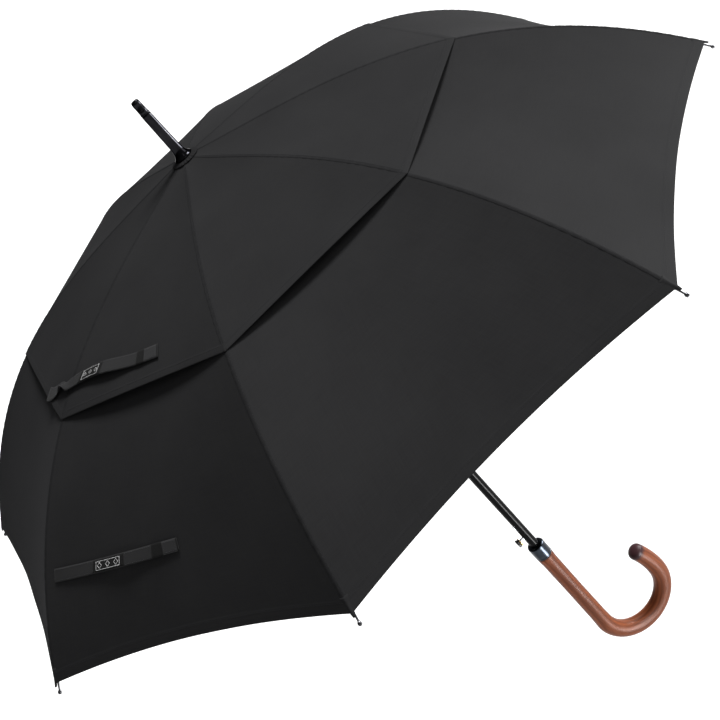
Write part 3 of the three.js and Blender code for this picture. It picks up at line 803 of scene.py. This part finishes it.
# ---- shaft, ferrule, handle and small parts
GRIP_TOP = 79.7
BEND_TOP = -94.0
CROOK_R = 57.5
NOSE_R = 150.0
NOSE_TURN = math.radians(20)
NOSE_ROUND = 9.2
GRIP_LENGTH = GRIP_TOP - BEND_TOP
HANDLE_LENGTH = (GRIP_LENGTH + math.pi * CROOK_R + NOSE_TURN * NOSE_R + NOSE_ROUND) * MM
COLLAR_BASE = (0, 0, 80.1)
ROSETTE_BASE = (0, 0, 880.5)
FERRULE_BASE = (0, 0, 881.8)
FERRULE_END_BASE = (0, 0, 948.7)
BUTTON_PLACE = (-12.9, 0, 126.5)
SPRING_LOW, SPRING_HIGH = 704.6, 862.0
SPRING_TURNS = 34


def handle_spine():
    """The crook's centre line: grip, bend, a flatter arc and the nose."""
    points = [(0.0, z) for z in np.arange(GRIP_TOP, BEND_TOP, -2.0)]
    for a in np.linspace(0, math.pi, 96):
        points.append((CROOK_R * (1 - math.cos(a)), BEND_TOP - CROOK_R * math.sin(a)))
    for a in np.linspace(0, NOSE_TURN, 26)[1:]:
        points.append((2 * CROOK_R - NOSE_R * (1 - math.cos(a)), BEND_TOP + NOSE_R * math.sin(a)))
    x, z = np.array(points).T
    dx, dz = x[-1] - x[-2], z[-1] - z[-2]
    out = NOSE_ROUND * np.sin(np.linspace(0, math.pi / 2, 14))[1:] / math.hypot(dx, dz)
    x = np.append(x, x[-1] + dx * out)
    z = np.append(z, z[-1] + dz * out)
    return np.stack([x, 0 * x, z], -1)


def make_handle():
    """The bentwood crook: slim in the hand, swelling through the bend, with a rounded nose."""
    path = handle_spine()
    length = lengths_along(path)
    nose = length[-1] - NOSE_ROUND
    bend = GRIP_LENGTH
    known = [0, 1.2, 3.5, 8, 14, 20, 100, bend - 18, bend - 6, bend + 8, bend + 40, length[-1] - 60, nose]
    sizes = [12.4, 12.85, 12.9, 12.6, 12.12, 12.0, 12.0, 12.25, 12.7, 13.45, 13.7, 13.7, 13.1]
    radius = np.interp(length, known, sizes)
    kernel = np.array([1, 3, 5, 3, 1], float) / 13
    smooth = np.convolve(np.pad(radius, 2, mode="edge"), kernel, mode="valid")
    radius = np.where(length < 3, radius, smooth)
    into = np.clip((length - nose) / NOSE_ROUND, 0, 1)
    radius = radius * np.sqrt(np.maximum(1 - into ** 2.3, 0.0004))
    a = np.arange(56) * 2 * math.pi / 56
    section = np.stack([np.sin(a), np.cos(a)], -1)[None] * radius[:, None, None]
    section = section * (1 + 0.006 * np.sin(length / 17)[:, None, None])
    soup = Soup()
    sweep(soup, path, section, grain=length)
    soup.build("wooden_handle", [WOOD], "frame", "handle_wood", "handle", grain=True)


def turned_piece(name, profile, segments, material, slot, node, body="frame", sharp=None, **place):
    soup = Soup()
    lathe(soup, profile, segments, **place)
    soup.build(name, [material], body, slot, node, sharp=sharp)


def make_collar():
    profile = [(7.3, 0), (12.6, 0), (13.08, 0.3), (13.2, 0.8), (13.2, 2.4), (12.9, 2.7), (12.9, 3.1),
               (13.2, 3.4), (13.2, 22.3), (13.05, 23.3), (12.5, 24.2), (11.4, 25.0), (9.8, 25.55),
               (8.2, 25.8), (7.6, 25.9), (7.3, 25.7)]
    turned_piece("grip_collar", profile, 96, GUNMETAL, "collar_metal", "collar", sharp=35, centre=COLLAR_BASE)


def make_ferrule():
    tube_shape = [(7.3, 0), (11.5, 0), (12.0, 0.35), (12.05, 0.9), (11.7, 1.5), (10.8, 2.2), (9.7, 3.4),
                  (8.8, 4.9), (8.1, 6.6), (7.5, 8.6), (7.05, 11.2), (6.75, 14), (6.6, 17), (6.2, 44.2),
                  (5.97, 65.4), (5.85, 66.2), (5.5, 66.6), (4.6, 66.6), (4.6, 58.2), (7.3, 2.2)]
    end_shape = [(0, 0), (5.2, 0), (5.8, 0.15), (6.0, 0.5), (6.0, 1.7), (5.8, 2.1), (5.5, 2.5), (5.42, 6.3),
                 (5.55, 6.6), (5.55, 7.2), (5.42, 7.5), (5.3, 15.9), (5.15, 17.6), (4.75, 19.0), (4.0, 19.7),
                 (3.2, 19.8), (0, 19.8)]
    for name, shape, node, base in (("ferrule_tube", tube_shape, "ferrule", FERRULE_BASE),
                                    ("ferrule_end", end_shape, "ferrule_cap", FERRULE_END_BASE)):
        turned_piece(name, shape, 72, BLACK_CHROME, "ferrule_metal", node, sharp=35, centre=base)


def pleats(radius, height, angles):
    share = np.clip((radius - 8) / 11, 0, 1)
    wave = np.sin(angles * 26) * 0.38 + np.sin(angles * 11 + 1.0) * 0.15
    return radius + share * wave * 0.5, height + share * wave - 2.2 * share ** 2


def make_washer():
    """The gathered cloth rosette under the ferrule."""
    profile = [(7.3, 0.1), (9.5, 0.1), (12, 0), (15, 0), (17.5, 0), (18.6, 0.4), (18.9, 0.8), (18.3, 1.2),
               (16, 1.25), (14, 1.2), (12.5, 1.1), (10, 1.1), (7.3, 1.1)]
    turned_piece("top_rosette", profile, 156, SEAM, "washer_black", "top_washer", centre=ROSETTE_BASE,
                 pleat=pleats)


def make_button():
    outwards = {"centre": BUTTON_PLACE, "turn": Matrix.Rotation(math.radians(-90), 4, "Y")}
    dome = [(0, 0), (4.1, 0), (4.4, 0.25), (4.9, 1.4), (5.6, 2.9), (6.35, 4.3), (6.55, 4.8), (6.6, 5.2),
            (6.5, 5.7), (6.1, 6.2), (5.4, 6.5), (3.6, 6.75), (1.8, 6.87), (0, 6.9)]
    turned_piece("button_dome", dome, 48, GLOSS_BLACK, "button_black", "button_knob", "release", **outwards)
    ring = [(5.4, 0.4), (5.9, 0.35), (6.3, 0.6), (6.45, 1.1), (6.35, 1.7), (5.95, 2.0), (5.6, 2.0)]
    turned_piece("button_ring", ring, 48, BRASS, "button_brass", "button_rim", "release", **outwards)


def make_spring():
    """The opening spring, finer than in the CAD: it stretches from the crown to the runner."""
    share = np.linspace(0, 1, SPRING_TURNS * (18))
    a = share * 2 * math.pi * SPRING_TURNS
    z = SPRING_LOW + (SPRING_HIGH - SPRING_LOW) * share - 2.4 * np.sin(2 * math.pi * share)
    soup = Soup()
    tube(soup, np.stack([8.6 * np.cos(a), 8.6 * np.sin(a), z], -1), 0.62, 8)
    piece = soup.build("coil_spring", [STEEL], None, "spring_steel", "opening_spring")
    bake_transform(piece)


# ---- tie straps, on the panel beside rib 7
TAPE_STITCH = 2.2


class Ribbon:
    """A tape laid along a panel: a place on it is (lateral from rib 7, across the tape).

    stand is its height over the cloth, drift its way off its radius, and pinch its share of full width."""

    def __init__(self, layer, radius, stand, drift, pinch):
        self.layer, self.radius = layer, radius
        self.stand, self.drift, self.pinch = stand, drift, pinch

    def at(self, y, across, lift):
        y, across = np.broadcast_arrays(y, across)
        r = self.radius + self.drift(y) + across * self.pinch(y) * math.cos(float(tilt(self.radius)))
        height = self.stand(y, across) + lift
        return on_cloth(self.layer, rib_angle(7), r, y / half_width(self.radius), height[..., None])[0]

    def normal(self, y):
        t = y / half_width(self.radius)
        return surface_normal(self.layer, rib_angle(7), self.radius + 0 * t, t)


def tape(soup, ribbon, y0, y1, width, lift, thick, kind=0, raised_edge=0.0):
    """A closed length of tape of the ribbon from y0 to y1."""
    rows = max(4, int((y1 - y0) / 1.2))
    y = np.linspace(y0, y1, rows)[:, None]
    share = np.linspace(1, -1, 9)[None]
    across = share * width / 2
    ends = np.abs(np.linspace(-1, 1, rows))[:, None] ** 30
    round_off = -thick * 0.32 * np.maximum(np.abs(share) ** 8, ends)
    ridge = raised_edge * np.exp(-((np.abs(share) - 0.86) / 0.08) ** 2)
    top = ribbon.at(y, across, lift + thick + round_off + ridge)
    loop, faces = band_between(top, ribbon.at(y, across, lift - round_off))
    uv = np.stack([y + 0 * across, across + 0 * y], -1)
    soup.add(loop, faces, uvs=np.concatenate([uv, uv[:, ::-1] + (0, 60)], 1), kind=kind)


def tape_stitches(soup, ribbon, corners, lift):
    """Thread along straight lines between (y, across) corners on the tape's face."""
    for (ya, ca), (yb, cb) in zip(corners[:-1], corners[1:]):
        count = max(1, int(math.hypot(yb - ya, cb - ca) / TAPE_STITCH))
        middle = (np.arange(count) + 0.5) / count
        reach = 0.36 / count
        starts, ends = (ribbon.at(ya + (yb - ya) * share, ca + (cb - ca) * share, lift)
                        for share in (middle - reach, middle + reach))
        stitches(soup, starts, ends, ribbon.normal(ya + (yb - ya) * middle), 0.17)


def rectangle(y0, y1, half):
    return [(y0, -half), (y1, -half), (y1, half), (y0, half), (y0, -half)]


def badge_pattern(soup, ribbon, badge0, badge1, width):
    """Pale thread on the badge: a frame with three diamonds in a row."""
    tall = width / 2 - 3.0
    left, right = badge0 + 5.5, badge1 - 5.5
    reach = min(tall - 1.4, (right - left) / 11)
    loops = [rectangle(left, right, tall)]
    for centre in np.linspace(left + reach * 1.6, right - reach * 1.6, 3):
        loops.append([(centre - reach, 0), (centre, reach), (centre + reach, 0), (centre, -reach),
                      (centre - reach, 0)])
    for loop in loops:
        for (ya, ca), (yb, cb) in zip(loop[:-1], loop[1:]):
            share = np.linspace(0, 1, max(3, int(math.hypot(yb - ya, cb - ca))))
            tube(soup, ribbon.at(ya + (yb - ya) * share, ca + (cb - ca) * share, 1.12), 0.17, 6, 1)


def strap_ribbon(layer, radius, width, plan):
    """How a strap lies: bowed between its sewn ends, and twisted at a neck if it starts beyond the rib."""
    start, badge0, _, dark0, _, end = plan
    twisted = start < 0

    def near_neck(y):
        return np.exp(-((y + 14) / 10.0) ** 2) if twisted else 0 * y

    def stand(y, across):
        bow = 2.6 * np.sin(np.pi * np.clip((y - badge0) / (dark0 - badge0), 0, 1)) ** 2
        lean = (across / width + 0.5) * 2.6 * np.sin(np.pi * np.clip((y - start) / (end - start), 0, 1))
        return 0.9 + bow + lean + (2.2 + 0.375 * across) * near_neck(y)

    def drift(y):
        if not twisted:
            return 4.0 * (y - start) / (end - start) + np.sin((y - start) / (end - start) * 3.0)
        return 5.7 - 8.7 * np.exp(-((y - 25) / 55.0) ** 2) + 30.0 / (1 + np.exp((y + 34) / 12.0))

    def pinch(y):
        return 1 - 0.58 * near_neck(y)

    return Ribbon(layer, radius, stand, drift, pinch)


def make_strap(layer, radius, width, plan):
    """plan: from rib 7, where the band starts, the badge starts and ends, the elastic starts and ends, and
    the end tab ends."""
    start, badge0, badge1, dark0, dark1, end = plan
    ribbon = strap_ribbon(layer, radius, width, plan)

    def finish(soup, part, materials, node=None):
        piece = soup.build(f"strap_{layer}_{part}", materials, "rib_7", "strap_fabric", node)
        fold_with_rib(piece)
        return piece

    soup = Soup()
    tape(soup, ribbon, start, dark0 + 2, width, lift=0, thick=0.7, raised_edge=0.12)
    for line in (1.5 - width / 2, width / 2 - 1.5):
        tape_stitches(soup, ribbon, [(start + 2, line), (badge0 - 1, line)], 0.8)
        tape_stitches(soup, ribbon, [(badge1 + 1, line), (dark0 - 2, line)], 0.8)
    band = finish(soup, "band", [WEBBING, STRAP_THREAD], f"strap_{layer}")
    soup = Soup()
    tape(soup, ribbon, dark0, dark1, width + 0.5, lift=0.25, thick=0.95)
    elastic = finish(soup, "dark_tape", [DARK_TAPE])
    soup = Soup()
    tape(soup, ribbon, dark1 - 1.5, end, width - 0.4, lift=0.3, thick=1.0, raised_edge=0.15)
    tape(soup, ribbon, end - 1.6, end - 0.2, width + 0.4, lift=0.15, thick=1.5, kind=2)
    tape_stitches(soup, ribbon, rectangle(dark1 + 1, end - 3.6, width / 2 - 2.2), 1.38)
    tab = finish(soup, "tab", [TAB, STRAP_THREAD, DARK_TAPE])
    soup = Soup()
    tape(soup, ribbon, badge0, badge1, width - 1.6, lift=0.62, thick=0.45)
    badge_pattern(soup, ribbon, badge0, badge1, width)
    badge = finish(soup, "badge", [DARK_TAPE, PALE_THREAD])


# ---- stage and light
def make_floor(half=60.0, height=-0.62):
    mesh = bpy.data.meshes.new("floor")
    corners = [(x * half, y * half, height) for x, y in ((-1, -1), (1, -1), (1, 1), (-1, 1))]
    mesh.from_pydata(corners, [], [(0, 1, 2, 3)])
    mesh.materials.append(backdrop_paint())
    add_object("floor", mesh)


def make_sky():
    """A soft glow from one side; towards the horizon the camera sees plain white."""
    world = bpy.data.worlds.new("studio")
    bpy.context.scene.world = world
    world.use_nodes = True
    tree = world.node_tree
    back = tree.nodes["Background"]
    seen = put(tree, "ShaderNodeLightPath").outputs["Is Camera Ray"]
    way = put(tree, "ShaderNodeTexCoord").outputs["Generated"]
    bright_side = (0.70, -0.35, 0.62)
    facing = put(tree, "ShaderNodeVectorMath", {0: way, 1: bright_side}, operation="DOT_PRODUCT")
    rise = put(tree, "ShaderNodeSeparateXYZ", {"Vector": way}).outputs["Z"]
    haze = times(seen, span(rise, 0.24, 0.42, 1.0, 0.0))
    glow = span(facing.outputs["Value"], -0.5, 1.0, 0.04, 0.48)
    sky = times(glow, math_node(tree, "SUBTRACT", 1.0, haze))
    tree.links.new(plus(haze, sky), back.inputs["Strength"])
    back.inputs["Color"].default_value = (1, 1, 1, 1)


def hang_light(name, data, power, direction):
    data.energy = power
    light = add_object(name, data)
    light.rotation_euler = Vector(direction).to_track_quat("-Z", "Y").to_euler()
    return light


def make_sun(name, direction, power, width):
    data = bpy.data.lights.new(name, "SUN")
    data.angle = math.radians(width)
    hang_light(name, data, power, direction)


def make_light(name, place, target, size, power, diffuse=True):
    """A rectangular lamp; one with diffuse off shows only as a highlight."""
    data = bpy.data.lights.new(name, "AREA")
    data.shape = "RECTANGLE"
    data.size, data.size_y = size
    light = hang_light(name, data, power, Vector(target) - Vector(place))
    light.location = place
    light.visible_diffuse = diffuse


# ---- finishes
def grey(level, blue=None):
    return (level, level, blue or level)


FABRIC = cloth("canopy_cloth", grey(0.0130, 0.0135), grey(0.0195, 0.0200), 0.00055, 0.88, 0.005)
SEAM = cloth("seam_cloth", grey(0.0103, 0.0108), grey(0.0163, 0.0168), 0.00055, 0.86, 0.005)
THREAD = cloth("sewing_thread", grey(0.012), grey(0.020, 0.021), 0.0003, 0.70, 0.06)
WEBBING = webbing("strap_webbing", grey(0.0095, 0.0100), grey(0.0215, 0.0220), 0.0009, 0.72)
DARK_TAPE = webbing("strap_dark_tape", grey(0.003), grey(0.008), 0.0007, 0.85)
TAB = webbing("strap_tab_webbing", grey(0.013, 0.0135), grey(0.028, 0.029), 0.0009, 0.68)
STRAP_THREAD = cloth("strap_thread", grey(0.022, 0.023), grey(0.045, 0.046), 0.0003, 0.6, 0.2)
PALE_THREAD = cloth("badge_thread", grey(0.50), grey(0.70), 0.0003, 0.6, 0.1)
ENAMEL = metal("black_enamel", grey(0.008, 0.0085), grey(0.018, 0.019), 0.34, (700, 700, 700), 0.30,
               metallic=0.0, specular=0.10)
STEEL = metal("plated_steel", (0.19, 0.20, 0.21), (0.36, 0.37, 0.38), 0.26, (900, 900, 120), 0.1)
TIP = metal("black_nickel", grey(0.035, 0.038), grey(0.085, 0.09), 0.24, (800, 800, 800), 0.2)
BLACK_CHROME = metal("black_chrome", grey(0.006, 0.007), grey(0.016, 0.018), 0.12, (500, 500, 60), 0.08,
                     edge_tint=0.35)
GUNMETAL = metal("gunmetal", (0.012, 0.015, 0.020), (0.034, 0.040, 0.050), 0.20, (1400, 1400, 60), 0.08)
SHAFT_PAINT = metal("black_gloss_paint", grey(0.0016, 0.0018), grey(0.0040, 0.0044), 0.20, (420, 420, 40),
                    0.05, metallic=0.0, specular=0.05)
BRASS = metal("polished_brass", (0.55, 0.36, 0.14), (0.80, 0.58, 0.27), 0.20, (900, 900, 900))
GLOSS_BLACK = plastic("gloss_black", grey(0.006), grey(0.014, 0.015), 0.18, 0.6)
NOTCH_PLASTIC = plastic("matte_black_plastic", grey(0.010, 0.0105), grey(0.022, 0.023), 0.48)
WOOD = lacquered_wood("red_brown_bentwood")


def refine(node, material, width=0):
    """A CAD node that stays: its own finish, small rounded edges and smooth shading between sharp edges."""
    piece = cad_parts[node]
    piece.data.materials.clear()
    piece.data.materials.append(material)
    piece.data.polygons.foreach_set("use_smooth", np.ones(len(piece.data.polygons), bool))
    piece.data.set_sharp_from_angle(angle=math.radians(32))
    if width:
        edge = piece.modifiers.new("edges", "BEVEL")
        edge.width = width * MM
        edge.segments = 2
        edge.limit_method = "ANGLE"
        edge.angle_limit = math.radians(40)
        edge.harden_normals = True


refine("shaft", SHAFT_PAINT)
for slotted in ("crown", "runner"):
    refine(slotted, NOTCH_PLASTIC, 0.25)
    refine(f"{slotted}_wire", STEEL)
for strip in ("release_lever", "top_catch"):
    refine(strip, STEEL, 0.12)

make_handle()
make_collar()
make_ferrule()
make_washer()
make_button()
make_spring()
for number in range(1, RIBS + 1):
    rib_frame(number)
    stretcher(number)
    rib_end(number)
    corner_tab(number)
    for sheet_layer in ("lower", "upper"):
        halves = [panel_half(sheet_layer, number, side) for side in (1, -1)]
        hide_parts(f"{sheet_layer}_gore_{number}")
        seam(sheet_layer, number)
make_strap("upper", 297.0, 17.6, (-62, 16, 53, 103, 115, 133))
make_strap("lower", 479.0, 15.0, (15, 70, 116, 152, 168, 188))

make_floor()
make_sky()
make_sun("overhead", (-0.75, -0.12, -1.0), 5.9, 20)
make_light("key", (3.2, -1.0, 1.6), (0, 0, 0.6), (1.6, 1.6), 40)
make_light("front", (0.6, -2.2, 3.2), (0, 0, 0.7), (0.5, 2.2), 8)
make_light("handle_strip", (0.22, -0.55, -0.15), (0.03, 0.0, -0.05), (0.14, 0.70), 13.0, diffuse=False)
make_light("shaft_strip", (0.30, -0.74, -0.36), (0, 0, 0.15), (0.42, 0.42), 6.5, diffuse=False)
make_light("ferrule_strip", (1.55, 0.02, 0.50), (0, 0, 0.93), (0.8, 0.6), 70.0, diffuse=False)
